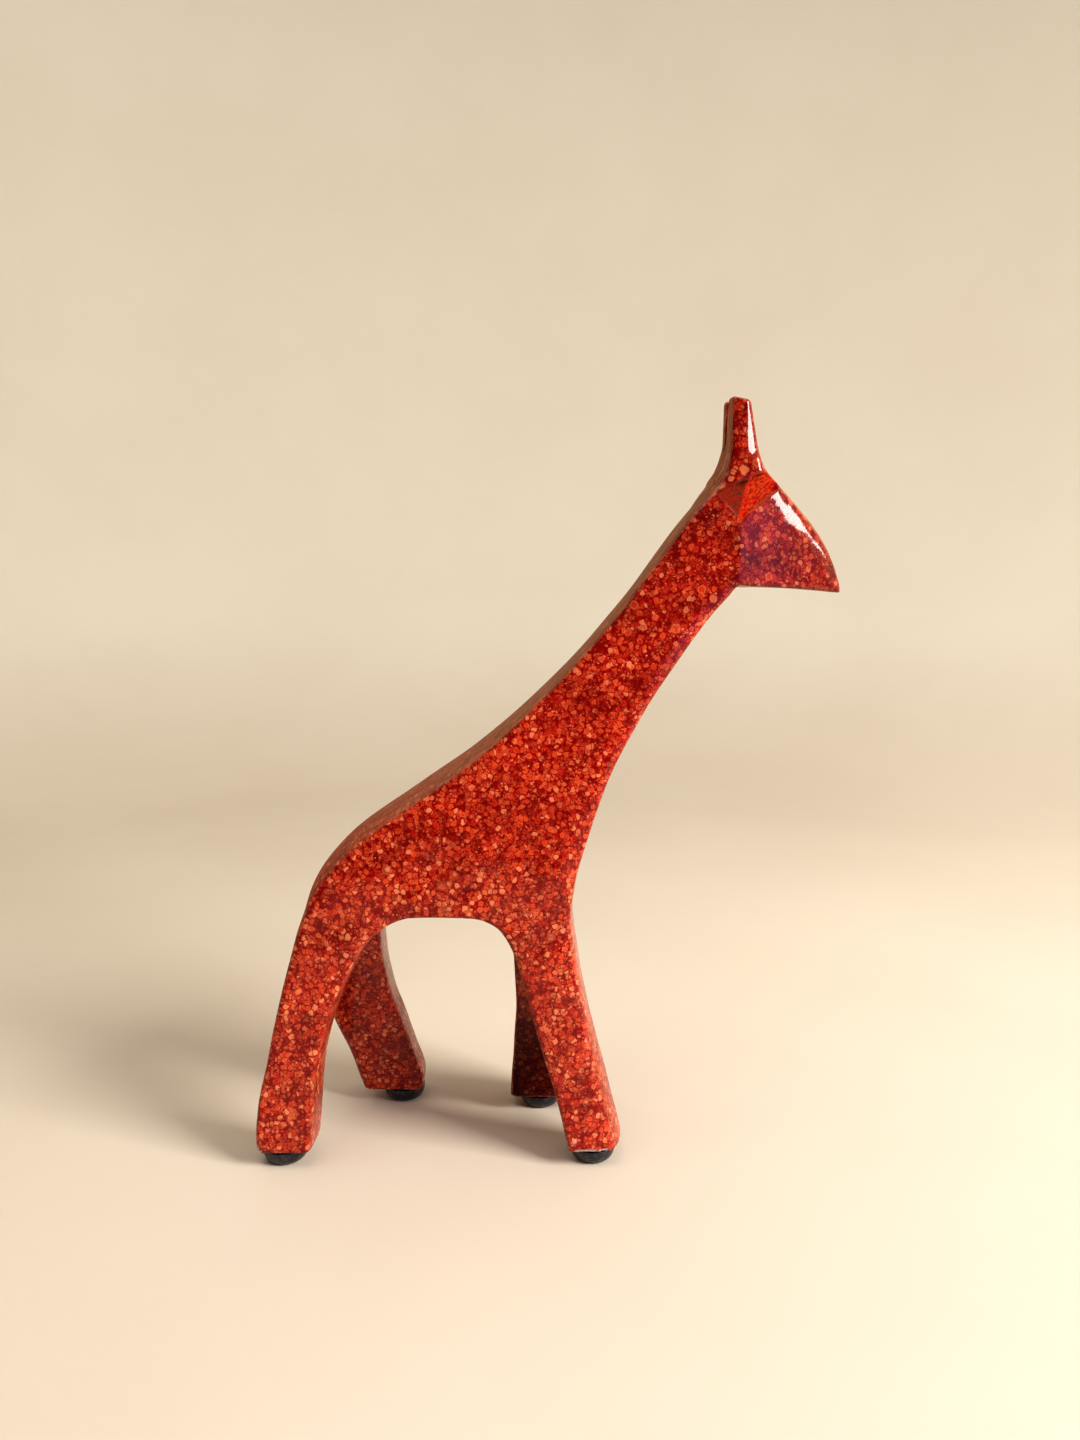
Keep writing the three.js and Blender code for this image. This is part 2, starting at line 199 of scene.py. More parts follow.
rails = {"ridge": railOf([[r[0], r[2]] for r in headRows]),
         "ridgeCrown": railOf([[r[0], r[3]] for r in headRows]),
         "chin": railOf([[r[0], r[1]] for r in headRows]),
         "flank": railOf(flankRows)}
for flankName in ("right", "left"):
    rearLeg, frontLeg = legRows["rear_" + flankName], legRows["front_" + flankName]
    outline = {"back": rearLeg["rear"] + backRows, "breast": frontLeg["front"] + breastRows,
               "archRear": rearLeg["front"], "archFront": frontLeg["rear"]}
    for edge, rows in outline.items():
        rails[edge, flankName] = railOf(rows)
        rails[edge + "Crown", flankName] = railOf(rows, 2)


def outerHalf(x, z, flankName):
    # half thickness of the block: the splay of the legs dies away by a power law up to the
    # belly, the flanks close slowly up the neck, and the cheeks run straight to the nose
    low = np.clip(1.0 - z / carving["archHeight"], 0.0, 1.0) ** carving["splayPower"]
    fore = smoothStep(*carving["outerSpan"], x)
    splay = (carving["splay"]["rear_" + flankName] * (1 - fore)
             + carving["splay"]["front_" + flankName] * fore)
    flank = onRail(rails["flank"], z)
    toFront = np.maximum(onRail(rails["breast", flankName], z) - x, 0.0) / carving["frontSoftReach"]
    soft = carving["frontSoftness"] * np.maximum(1.0 - toFront, 0.0) ** 2
    soft = soft * smoothStep(*carving["frontSoftFade"], z)
    half = flank + (splay - carving["bellyHalf"]) * low - soft
    start = carving["cheekStart"] + carving["browStart"] * smoothStep(*carving["browRise"], z)
    past = x - start
    past = 0.5 * (past + np.sqrt(past * past + carving["cheekSoftness"]))
    reach = carving["noseTip"] - start
    cheek = flank + (carving["noseHalf"] - flank) * np.minimum(past / reach, 1.0)
    depth = np.maximum(onRail(rails["ridge"], x) - z, 0.0) * carving["ridgeLean"]
    bevel = np.maximum(1.0 - depth / carving["cheekBevelReach"], 0.0) ** 2
    along = smoothStep(*carving["bevelStart"], x) * smoothStep(*carving["bevelEnd"], x)
    bevel = bevel * carving["cheekBevel"] * along
    onHorn = smoothStep(*carving["hornRise"], z)
    turn = carving["hornTurn"] * np.maximum(x - carving["hornFold"], 0.0) * onHorn
    onHead = smoothStep(-2.0, 2.0, x - carving["cheekStart"]) * (z > 200.0)
    return half + (cheek - bevel - turn - half) * onHead


def innerHalf(x, z, flankName):
    # the inner faces of a pair of legs lean together by a power law and cross above the crotch
    fore = smoothStep(*carving["innerSpan"], x)
    rise = z / carving["crotchHeight"]
    reach = np.maximum(rise, 0.0) ** carving["leanPower"]
    sole = [carving["splay"][end + flankName] - carving["hoofDepth"][end + flankName]
            for end in ("rear_", "front_")]
    sole = sole[0] * (1 - fore) + sole[1] * fore
    return sole * (1.0 - reach) - carving["innerLean"] * rise


def halfBlock(x, y, z, flankName):
    # outline of one flank: between the back and breast rails, less the arch between the legs;
    # each edge is a half ellipse across the thickness, standing its crown past the creases
    outer = outerHalf(x, z, flankName)
    inner = np.maximum(innerHalf(x, z, flankName), 0.0)
    across = np.clip((outer - np.abs(y)) / np.maximum(outer - inner, 1.0), 0.0, 1.0)
    bulge = np.sqrt(across * (2.0 - across) + 1e-4)

    def edge(name, sign):
        rail = rails[name, flankName]
        at = onRail(rail, z) + sign * onRail(rails[name + "Crown", flankName], z) * bulge
        return (x - at) * steepness(rail, z)

    block = smoothMax(-edge("back", -1), edge("breast", 1), carving["creaseRound"])
    arch = smoothMax(-edge("archRear", 1), edge("archFront", -1), 3.0)
    arch = smoothMax(arch, z - carving["archHeight"], 2.0)
    return np.maximum(block, -arch)


def cutBeside(x, y, z, corners):
    # a prism with the given corners, open to the flank, down to a sloping flat floor
    points = np.array(corners, float)
    table = np.c_[np.ones(4), points[:, 0], points[:, 1]]
    plane = np.linalg.lstsq(table, points[:, 2], rcond=None)[0]
    inside = plane[0] + plane[1] * x + plane[2] * z - np.abs(y)
    for i in range(4):
        a, b = points[i], points[(i + 1) % 4]
        run, rise = b[0] - a[0], b[1] - a[1]
        side = ((x - a[0]) * rise - (z - a[1]) * run) / math.hypot(run, rise)
        inside = smoothMax(inside, side, carving["cutCorner"])
    return inside


def chipField(x, y, z):
    # distance from the nearest of some ellipsoids whose skin is made ragged by two sine waves
    nearest = np.full(np.broadcast(x, y, z).shape, 9.0)
    for cx, cy, cz, rx, ry, rz in hoofChips:
        ragged = 0.12 * np.sin(3.1 * x + 1.7 * z) * np.cos(2.3 * y - 2.9 * z)
        ball = np.sqrt(((x - cx) / rx) ** 2 + ((y - cy) / ry) ** 2 + ((z - cz) / rz) ** 2)
        nearest = np.minimum(nearest, (ball - 1.0 + ragged) * min(rx, ry, rz))
    return nearest


def carvingField(x, y, z):
    # distance from the surface in mm, negative inside the stone: both flanks and the head are
    # joined by a soft least value, then cut by the flanks, gaps, slot, knife cuts and chips
    crease = carving["creaseRound"]
    toLeft = smoothStep(-5.0, 5.0, y)
    solid = halfBlock(x, y, z, "right") * (1 - toLeft) + halfBlock(x, y, z, "left") * toLeft
    # head: between chin and ridge, the ridge crowned like the back
    outer = np.where(y < 0, outerHalf(x, z, "right"), outerHalf(x, z, "left"))
    across = np.clip(np.abs(y) / np.maximum(outer, 1.0), 0.0, 1.0)
    fall = onRail(rails["ridgeCrown"], x) * (1.0 - np.sqrt(1.0 - across ** 2 + 1e-4))
    ridge = onRail(rails["ridge"], x) - fall / np.maximum(steepness(rails["ridge"], x), 0.35)
    head = smoothMax((z - ridge) * steepness(rails["ridge"], x), onRail(rails["chin"], x) - z, crease)
    head = smoothMax(head, x - carving["noseTip"], crease)
    head = np.maximum(head, carving["headBack"] - x)
    solid = smoothMin(solid, head, 3.0)
    # the tips fall towards the nose
    tip = carving["hornTip"] + carving["hornTipRise"] - carving["hornTipFall"] * (x - carving["hornBack"])
    solid = smoothMax(solid, z - tip, crease)
    # flat flanks cut through everything
    solid = smoothMax(solid, (np.abs(y) - outer) * 0.97, crease)
    # the gap between the left and right legs
    gap = np.maximum(-innerHalf(x, z, "right") - y, y - innerHalf(x, z, "left"))
    solid = smoothMax(solid, -gap, carving["innerRound"])
    # the soles
    solid = smoothMax(solid, -z, 0.8)
    # the slot between the horns
    gapBottom = carving["hornTip"] - carving["hornGapDepth"]
    wide = np.clip((z - gapBottom) / carving["hornGapDepth"], 0.0, 1.0)
    slotHalf = carving["hornGapRoot"] + (carving["hornGapTip"] - carving["hornGapRoot"]) * wide
    slot = smoothMax(np.abs(y) - slotHalf, gapBottom - z, 3.0)
    solid = smoothMax(solid, -slot, 1.3)
    # the knife cuts beside each ear, then the chips
    cuts = np.minimum(cutBeside(x, y, z, earGroove), cutBeside(x, y, z, earScoop))
    solid = smoothMax(solid, -cuts, carving["earCutRound"])
    solid = smoothMax(solid, -chipField(x, y, z), 0.5)
    # slow waves left by hand rasping
    wave = (np.sin(0.083 * x + 0.11 * z + 1.3) * np.cos(0.07 * z - 0.09 * y)
            + 0.6 * np.sin(0.19 * x - 0.14 * z) * np.sin(0.11 * y + 0.17 * z + 0.7))
    return solid + (carving["handWave"] * wave - carving["fullness"]) * np.clip(z / 6.0, 0.0, 1.0)


def stations(low, high, split, coarse, fine):
    # evenly spaced lines, closer together past the split
    first = np.arange(low, split, coarse)
    return np.append(first, np.arange(split, high + fine, fine))


def surfaceNet(field, lines):
    # one vertex in each grid cell that the surface crosses, at the mean of its edge crossings;
    # one four-sided face round each grid edge that the surface crosses
    inside = field < 0
    count = np.zeros(tuple(n - 1 for n in field.shape), np.int8)
    for offset in np.ndindex(2, 2, 2):
        window = tuple(slice(o, n - 1 + o) for o, n in zip(offset, field.shape))
        count += inside[window]
    cells = np.argwhere((count > 0) & (count < 8))
    number = np.full(count.shape, -1, np.int64)
    number[tuple(cells.T)] = np.arange(len(cells))
    total = np.zeros((len(cells), 3))
    crossings = np.zeros(len(cells))
    faces = []
    for axis in range(3):
        others = [a for a in range(3) if a != axis]
        for i, j in ((0, 0), (0, 1), (1, 0), (1, 1)):
            near = cells.copy()
            near[:, others[0]] += i
            near[:, others[1]] += j
            far = near.copy()
            far[:, axis] += 1
            a, b = field[tuple(near.T)], field[tuple(far.T)]
            crossed = (a < 0) != (b < 0)
            t = np.where(crossed, a / np.where(crossed, a - b, 1.0), 0.0)
            place = np.stack([lines[k][near[:, k]] for k in range(3)], 1)
            place[:, axis] += t * (lines[axis][far[:, axis]] - lines[axis][near[:, axis]])
            total += place * crossed[:, None]
            crossings += crossed
        start = [slice(None)] * 3
        end = [slice(None)] * 3
        start[axis], end[axis] = slice(0, -1), slice(1, None)
        for other in others:
            start[other] = end[other] = slice(1, -1)
        a, b = inside[tuple(start)], inside[tuple(end)]
        edges = np.argwhere(a != b)
        leaving = a[tuple(edges.T)]
        for other in others:
            edges[:, other] += 1
        ring = []
        for i, j in ((-1, -1), (0, -1), (0, 0), (-1, 0)):
            cell = edges.copy()
            cell[:, others[0]] += i
            cell[:, others[1]] += j
            ring.append(number[tuple(cell.T)])
        quad = np.stack(ring, 1)
        flip = leaving if axis == 1 else ~leaving
        quad[flip] = quad[flip][:, ::-1]
        faces.append(quad)
    return total / crossings[:, None], np.concatenate(faces)


def settleOnSurface(points, rounds=3, step=0.12):
    # walks each vertex down the gradient of the field onto its zero
    for _ in range(rounds):
        value = carvingField(*points.T)
        slope = np.empty_like(points)
        for axis in range(3):
            shift = np.zeros(3)
            shift[axis] = step
            rise = carvingField(*(points + shift).T) - carvingField(*(points - shift).T)
            slope[:, axis] = rise / (2 * step)
        size = np.maximum((slope ** 2).sum(1), 0.35)
        move = -(value / size)[:, None] * slope
        reach = np.linalg.norm(move, axis=1, keepdims=True)
        points = points + move * np.minimum(1.0, 0.5 / np.maximum(reach, 1e-9)) * 0.9
    return points


def neighbourMean(points, faces):
    # mean of the four-way neighbours of every vertex
    ends = np.concatenate([faces[:, [i, (i + 1) % 4]] for i in range(4)])
    tally = np.bincount(ends.ravel(), minlength=len(points))
    mean = np.empty_like(points)
    for axis in range(points.shape[1]):
        mean[:, axis] = (np.bincount(ends[:, 0], points[ends[:, 1], axis], len(points))
                         + np.bincount(ends[:, 1], points[ends[:, 0], axis], len(points)))
    return mean / tally[:, None]


def gridNormals(points, faces):
    # sum of the cross products of the diagonals of the faces round each vertex, made one long
    diagonal = np.cross(points[faces[:, 2]] - points[faces[:, 0]],
                        points[faces[:, 3]] - points[faces[:, 1]])
    normal = np.zeros_like(points)
    for i in range(4):
        for axis in range(3):
            normal[:, axis] += np.bincount(faces[:, i], diagonal[:, axis], len(points))
    return normal / np.maximum(np.linalg.norm(normal, axis=1, keepdims=True), 1e-9)


def makeMesh(name, points, faces, triangles=None, values=None):
    # faces have four corners, triangles three; values are named floats, one for each vertex
    if triangles is None:
        triangles = np.empty((0, 3), np.int64)
    corners = np.concatenate([faces.ravel(), triangles.ravel()]).astype(np.int32)
    starts = np.concatenate([np.arange(len(faces)) * 4, faces.size + np.arange(len(triangles)) * 3])
    mesh = bpy.data.meshes.new(name)
    mesh.vertices.add(len(points))
    mesh.vertices.foreach_set("co", points.astype(np.float32).ravel())
    mesh.loops.add(len(corners))
    mesh.loops.foreach_set("vertex_index", corners)
    mesh.polygons.add(len(starts))
    mesh.polygons.foreach_set("loop_start", starts.astype(np.int32))
    mesh.update(calc_edges=True)
    mesh.validate()
    mesh.polygons.foreach_set("use_smooth", np.ones(len(mesh.polygons), bool))
    for attribute, floats in (values or {}).items():
        layer = mesh.attributes.new(attribute, "FLOAT", "POINT")
        layer.data.foreach_set("value", floats.astype(np.float32))
    piece = bpy.data.objects.new(name, mesh)
    bpy.context.scene.collection.objects.link(piece)
    return piece


def buildCarving():
    # the animal branches and its cuts run into one another, so no single grid of two parameters
    # covers it: its surface is the zero of a field, taken off a three-way grid
    loose = 1.0
    coarse, fine = carving["gridStep"] * loose, carving["fineStep"] * loose
    lines = [stations(*carving["gridX"], coarse, fine),
             np.arange(*carving["gridY"], coarse * 0.95),
             stations(*carving["gridZ"], coarse, fine)]
    field = np.empty([len(line) for line in lines])
    block = 24
    for start in range(0, len(lines[0]), block):     # in slabs, to keep the arrays small
        part = slice(start, start + block)
        field[part] = carvingField(lines[0][part, None, None], lines[1][None, :, None],
                                   lines[2][None, None, :])
    points, faces = surfaceNet(field, lines)
    points = settleOnSurface(points)
    relaxed = neighbourMean(points, faces) - points
    normal = gridNormals(points, faces)
    relaxed -= (relaxed * normal).sum(1, keepdims=True) * normal
    points = settleOnSurface(points + relaxed * 0.5, 2)
    # bend of the surface, positive on worn edges and negative in grooves
    normal = gridNormals(points, faces)
    bend = ((points - neighbourMean(points, faces)) * normal).sum(1) / coarse
    for _ in range(3):
        bend = 0.5 * bend + 0.5 * neighbourMean(bend[:, None], faces)[:, 0]
    chip = smoothStep(0.5, 0.05, np.abs(chipField(*points.T)))
    groove = smoothStep(0.9, 0.3, np.abs(cutBeside(*points.T, earGroove)))
    scoop = smoothStep(0.9, 0.3, np.abs(cutBeside(*points.T, earScoop)))
    # edge faces that turn up or back, where the material paints the backdrop's reflection in brown
    edgeFace = smoothStep(0.80, 0.50, np.abs(normal[:, 1]))
    turnedUp = np.maximum(smoothStep(0.1, -0.22, normal[:, 0]), smoothStep(0.15, 0.55, normal[:, 2]))
    backMask = edgeFace * (0.35 + 0.65 * turnedUp)
    # painted shade: the inner faces of the left legs, where the near legs shade them, are marked for
    # darkening, the fore leg most of all
    between = smoothStep(-0.35, -0.75, normal[:, 1]) * smoothStep(4.0, 9.0, points[:, 1])
    between *= smoothStep(100.0, 88.0, points[:, 2]) * (0.22 + 0.78 * smoothStep(-45.0, -30.0, points[:, 0]))
    print("carving:", len(points), "vertices, bend", np.percentile(bend, [1, 50, 90, 99]).round(3))
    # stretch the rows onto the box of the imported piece
    scale = (bodyHigh - bodyLow) / (carving["noseTip"] - carving["tailEnd"], 1.0, carving["hornTip"])
    scale[1] = 1.0
    low = np.array([carving["tailEnd"], -carving["splay"]["rear_right"], 0.0])
    points = (points - low) * scale + bodyLow
    return makeMesh("carvedGiraffe", points * millimetre, faces, values={
        "edgeBend": bend, "chipMask": chip, "cutMask": groove, "scoopMask": scoop,
        "backMask": backMask, "paintedLegShade": between})


carvedGiraffe = buildCarving()
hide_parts("carved_body")
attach(carvedGiraffe, "root")


def bandFaces(count, rounds):
    # four-sided faces between rings that follow one another
    i, j = np.meshgrid(np.arange(count - 1), np.arange(rounds), indexing="ij")
    step = (j + 1) % rounds
    faces = np.stack([i * rounds + j, i * rounds + step, (i + 1) * rounds + step, (i + 1) * rounds + j], 2)
    return faces.reshape(-1, 4)


def turnedSurface(name, radius, height, centre, rounds):
    # a profile turned about an upright axis: X and Y are the radius times the cosine and sine of
    # the turn. Radius and height are arrays along the profile, or along it and round the turn
    turn = np.linspace(0.0, 2 * np.pi, rounds, endpoint=False)
    radius, height = np.broadcast_arrays(radius, height)
    if radius.ndim == 1:
        radius = np.repeat(radius[:, None], rounds, 1)
        height = np.repeat(height[:, None], rounds, 1)
    ring = np.stack([centre[0] + radius * np.cos(turn), centre[1] + radius * np.sin(turn), height], 2)
    count = len(ring)
    middles = [[centre[0], centre[1], height[row].mean()] for row in (0, count - 1)]
    points = np.vstack([ring.reshape(-1, 3), middles])
    faces = bandFaces(count, rounds)
    here = np.arange(rounds)
    there = (here + 1) % rounds
    last = (count - 1) * rounds
    underside = np.stack([there, here, np.full(rounds, count * rounds)], 1)
    topside = np.stack([last + here, last + there, np.full(rounds, count * rounds + 1)], 1)
    return makeMesh(name, points * millimetre, faces, np.concatenate([underside, topside]))


bumperShape = {
    "flatShare": 0.64,      # radius of the standing flat over the full radius
    "lip": 1.1,             # upright band at the top, mm
    "edgeRound": 0.5,
    "ringDepth": 0.06,      # faint moulding ring in the flat, mm
    "rounds": 96,
}


def makeBumper(name, node):
    # quarter ellipse from the flat out to the lip: radius by sine, height by one minus cosine
    low, high = [np.array(corner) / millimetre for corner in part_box(node)]
    centre = (low + high) / 2
    full = (high[0] - low[0]) / 2
    flat = full * bumperShape["flatShare"]
    rise = high[2] - low[2] - bumperShape["lip"]
    inner = np.linspace(0.4, flat, 10)
    ringMark = bumperShape["ringDepth"] * np.exp(-((inner - flat * 0.7) / 0.35) ** 2)
    turn = np.linspace(0.0, np.pi / 2, 18)[1:]
    bend = np.linspace(0.0, np.pi / 2, 7)
    soft = bumperShape["edgeRound"]
    top = high[2] - low[2]
    radius = np.concatenate([inner, flat + (full - flat) * np.sin(turn),
                             full - soft + soft * np.cos(bend), [full * 0.5]])
    height = np.concatenate([ringMark, rise * (1 - np.cos(turn)),
                             top - soft + soft * np.sin(bend), [top]])
    return turnedSurface(name, radius, height + low[2], centre, bumperShape["rounds"])


padShape = {
    "bulge": (0.5, 0.985, 1.0, 1.006, 1.0, 0.985, 0.5),    # radius share up the rim
    "levels": (0.0, 0.0, 0.2, 0.5, 0.8, 1.0, 1.0),         # height share up the rim
    "wobble": (0.006, 0.004),                              # how far the rim is out of round
    "rounds": 96,
}


def makePad(name, node, seed):
    # thin disc of foam film whose rim bulges a little and is cut slightly out of round
    low, high = [np.array(corner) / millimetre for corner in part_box(node)]
    centre = (low + high) / 2
    full = (high[0] - low[0]) / 2
    turn = np.linspace(0.0, 2 * np.pi, padShape["rounds"], endpoint=False)
    slow, quick = padShape["wobble"]
    rim = 1.0 + slow * np.sin(3 * turn + seed) + quick * np.sin(7 * turn + 2 * seed)
    radius = full * np.array(padShape["bulge"])[:, None] * rim
    height = low[2] + (high[2] - low[2]) * np.array(padShape["levels"])[:, None]
    return turnedSurface(name, radius, height, centre, padShape["rounds"])


feet, pads = [], []
for seed, corner in enumerate(("rear_right", "front_right", "rear_left", "front_left")):
    foot = makeBumper("bumper_" + corner, "foot_" + corner)
    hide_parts("foot_" + corner)
    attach(foot, "root")
    feet.append(foot)
    pad = makePad("film_" + corner, "pad_" + corner, seed)
    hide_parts("pad_" + corner)
    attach(pad, "root")
    pads.append(pad)
print("feet and pads:", len(feet), len(pads))


def addNode(tree, kind, inputs=None, **settings):
    # inputs maps a socket name or number to a value or to another node's output
    node = tree.nodes.new(kind)
    for key, value in settings.items():
        setattr(node, key, value)
    for key, value in (inputs or {}).items():
        if isinstance(value, bpy.types.NodeSocket):
            tree.links.new(value, node.inputs[key])
        else:
            node.inputs[key].default_value = value
    return node


def maths(tree, operation, a, b=0.0, c=0.0, clamp=False):
    inputs = {0: a, 1: b, 2: c}
    return addNode(tree, "ShaderNodeMath", inputs, operation=operation, use_clamp=clamp).outputs[0]


def rangeOf(tree, value, low, high, toLow=0.0, toHigh=1.0, kind="SMOOTHSTEP"):
    node = addNode(tree, "ShaderNodeMapRange", {"Value": value, "From Min": low, "From Max": high,
                                                "To Min": toLow, "To Max": toHigh}, interpolation_type=kind)
    return node.outputs["Result"]


def mixColour(tree, share, a, b, blend="MIX"):
    node = tree.nodes.new("ShaderNodeMix")
    node.data_type, node.blend_type = "RGBA", blend
    for key, value in ((0, share), (6, a), (7, b)):
        if isinstance(value, bpy.types.NodeSocket):
            tree.links.new(value, node.inputs[key])
        else:
            node.inputs[key].default_value = value
    return node.outputs[2]


def newGroup(name, inputs, outputs):
    group = bpy.data.node_groups.new(name, "ShaderNodeTree")
    for label, kind, value in inputs:
        socket = group.interface.new_socket(label, in_out="INPUT", socket_type="NodeSocket" + kind)
        if value is not None:
            socket.default_value = value
    for label, kind in outputs:
        group.interface.new_socket(label, in_out="OUTPUT", socket_type="NodeSocket" + kind)
    return group, group.nodes.new("NodeGroupInput").outputs, group.nodes.new("NodeGroupOutput").inputs


def useGroup(tree, group, inputs):
    return addNode(tree, "ShaderNodeGroup", inputs, node_tree=group).outputs


def makeDropGroup():
    # round drops: one in each random cell, with a random radius, a soft rim and a tone
    group, given, out = newGroup("dyeDrops", [
        ("Position", "Vector", None), ("Spacing", "Float", 3.0), ("Radius", "Float", 0.4),
        ("Softness", "Float", 0.1), ("Share", "Float", 0.8)],
        [("Mask", "Float"), ("Tone", "Float"), ("Rim", "Float")])
    scale = maths(group, "DIVIDE", 1.0, given["Spacing"])
    drops = addNode(group, "ShaderNodeTexVoronoi", {"Vector": given["Position"], "Scale": scale,
                                                    "Randomness": 0.85})
    split = addNode(group, "ShaderNodeSeparateColor", {0: drops.outputs["Color"]})
    size = maths(group, "MULTIPLY_ADD", split.outputs[0], 0.65, 0.4)
    radius = maths(group, "MULTIPLY", size, given["Radius"])
    shrunk = maths(group, "SUBTRACT", radius, given["Softness"])
    body = rangeOf(group, drops.outputs["Distance"], shrunk, radius, 1.0, 0.0)
    chosen = maths(group, "LESS_THAN", split.outputs[1], given["Share"])
    mask = maths(group, "MULTIPLY", body, chosen)
    group.links.new(mask, out["Mask"])
    group.links.new(split.outputs[2], out["Tone"])
    middle = maths(group, "MULTIPLY", radius, 0.74)
    rim = maths(group, "COMPARE", drops.outputs["Distance"], middle, 0.05)
    group.links.new(maths(group, "MULTIPLY", rim, mask), out["Rim"])
    return group


def makeFoamGroup():
    # packed rounded cells parted by dark seams, each with its own tone and a lighter rim
    group, given, out = newGroup("dyeFoam", [
        ("Position", "Vector", None), ("Spacing", "Float", 1.5), ("Seam", "Float", 0.1)],
        [("Mask", "Float"), ("Tone", "Float"), ("Rim", "Float")])
    scale = maths(group, "DIVIDE", 1.0, given["Spacing"])
    cells = addNode(group, "ShaderNodeTexVoronoi", {"Vector": given["Position"], "Scale": scale})
    split = addNode(group, "ShaderNodeSeparateColor", {0: cells.outputs["Color"]})
    edge = addNode(group, "ShaderNodeTexVoronoi", {"Vector": given["Position"], "Scale": scale},
                   feature="DISTANCE_TO_EDGE").outputs["Distance"]
    clear = rangeOf(group, edge, 0.015, given["Seam"])
    rounded = rangeOf(group, cells.outputs["Distance"], 0.62, 0.46)
    group.links.new(maths(group, "MULTIPLY", clear, rounded), out["Mask"])
    group.links.new(split.outputs[2], out["Tone"])
    inner = maths(group, "MULTIPLY", given["Seam"], 2.2)
    group.links.new(rangeOf(group, edge, inner, given["Seam"]), out["Rim"])
    return group


def makeWearAndShadeGroup():
    # bare, slightly paler stone along hard edges, broken up by noise; the Groove output is a painted shade
    # mask for the creases
    group, given, out = newGroup("edgeWearAndCreaseShade", [
        ("Position", "Vector", None), ("Bend", "Float", 0.0), ("From", "Float", 0.1),
        ("To", "Float", 0.3), ("Grain", "Float", 0.5)], [("Mask", "Float"), ("Groove", "Float")])
    noise = addNode(group, "ShaderNodeTexNoise", {"Vector": given["Position"], "Scale": given["Grain"],
                                                  "Detail": 4.0, "Roughness": 0.65})
    broken = rangeOf(group, noise.outputs[0], 0.42, 0.68)
    edge = rangeOf(group, given["Bend"], given["From"], given["To"])
    group.links.new(maths(group, "MULTIPLY", edge, broken), out["Mask"])
    group.links.new(rangeOf(group, given["Bend"], -0.05, -0.22), out["Groove"])
    return group


def makeDustGroup():
    # thin dust on faces that look up, thicker where the noise is high
    group, given, out = newGroup("restingDust", [("Position", "Vector", None), ("Normal", "Vector", None),
                                                 ("Amount", "Float", 0.1)], [("Mask", "Float")])
    up = addNode(group, "ShaderNodeSeparateXYZ", {0: given["Normal"]}).outputs[2]
    facing = rangeOf(group, up, 0.35, 0.95)
    noise = addNode(group, "ShaderNodeTexNoise", {"Vector": given["Position"], "Scale": 0.35, "Detail": 6.0,
                                                  "Roughness": 0.7})
    cloud = rangeOf(group, noise.outputs[0], 0.35, 0.75)
    mask = maths(group, "MULTIPLY", maths(group, "MULTIPLY", facing, cloud), given["Amount"])
    group.links.new(mask, out["Mask"])
    return group


def makeScratchGroup():
    # hair-fine polishing scratches: noise stretched along one way, two ways crossed
    group, given, out = newGroup("polishMarks", [("Position", "Vector", None), ("Strength", "Float", 1.0)],
                                 [("Mask", "Float"), ("Height", "Float")])
    total = None
    for angle, stretch, fine in ((0.5, 0.05, 2.6), (-0.9, 0.04, 3.4)):
        turned = addNode(group, "ShaderNodeMapping", {
            "Vector": given["Position"], "Rotation": (0.2, angle, 0.1), "Scale": (stretch, 1.0, 1.0)})
        noise = addNode(group, "ShaderNodeTexNoise", {"Vector": turned.outputs[0], "Scale": fine,
                                                      "Detail": 2.0})
        line = rangeOf(group, noise.outputs[0], 0.66, 0.74)
        total = line if total is None else maths(group, "MAXIMUM", total, line)
    group.links.new(maths(group, "MULTIPLY", total, given["Strength"]), out["Mask"])
    group.links.new(maths(group, "MULTIPLY", total, given["Strength"]), out["Height"])
    return group


dropGroup, foamGroup, wearAndShadeGroup = makeDropGroup(), makeFoamGroup(), makeWearAndShadeGroup()
dustGroup, scratchGroup = makeDustGroup(), makeScratchGroup()


def newMaterial(name):
    material = bpy.data.materials.new(name)
    material.use_nodes = True
    tree = material.node_tree
    tree.nodes.clear()
    shader = tree.nodes.new("ShaderNodeBsdfPrincipled")
    output = tree.nodes.new("ShaderNodeOutputMaterial")
    tree.links.new(shader.outputs[0], output.inputs[0])
    return material, tree, shader


def positionInMillimetres(tree):
    place = tree.nodes.new("ShaderNodeTexCoord").outputs["Object"]
    return addNode(tree, "ShaderNodeVectorMath", {0: place, "Scale": 1000.0}, operation="SCALE").outputs[0]


stoneLook = {
    # packed cells, the finest first: spacing mm, seam, strength, where the blots let them through
    "foam": ((1.45, 0.18, 0.85, 0.32), (2.4, 0.13, 0.92, 0.38)),
    # loose drops: spacing mm, radius share, softness, share of cells, strength, lowest tone
    "drops": ((3.0, 0.42, 0.07, 0.42, 0.72, 0.2), (5.6, 0.40, 0.05, 0.30, 0.62, 0.35),
              (1.4, 0.30, 0.10, 0.30, 0.85, 0.6)),
    "bigDrop": 5.0,          # drops spaced wider than this lie mostly on the neck and head
    "deepRed": (0.175, 0.0, 0.0, 1),
    "crimson": (0.390, 0.0020, 0.0, 1),
    "orange": (0.580, 0.048, 0.010, 1),
    "salmon": (0.76, 0.215, 0.092, 1),
    "chipStone": (0.62, 0.60, 0.56, 1),
    "dust": (0.55, 0.48, 0.40, 1),
    "cutRed": (0.40, 0.036, 0.004, 1),
    "scoopShadeBrown": (0.075, 0.014, 0.004, 1),
    "backSheenBrown": (0.17, 0.062, 0.030, 1),
    "backSheenTan": (0.46, 0.220, 0.115, 1),
    "roughness": 0.42,
    "specular": 0.03,
    "coatRoughness": 0.08,
    "coatIor": 1.34,
    "peel": 0.22,            # strength of the lacquer's slow ripples
}


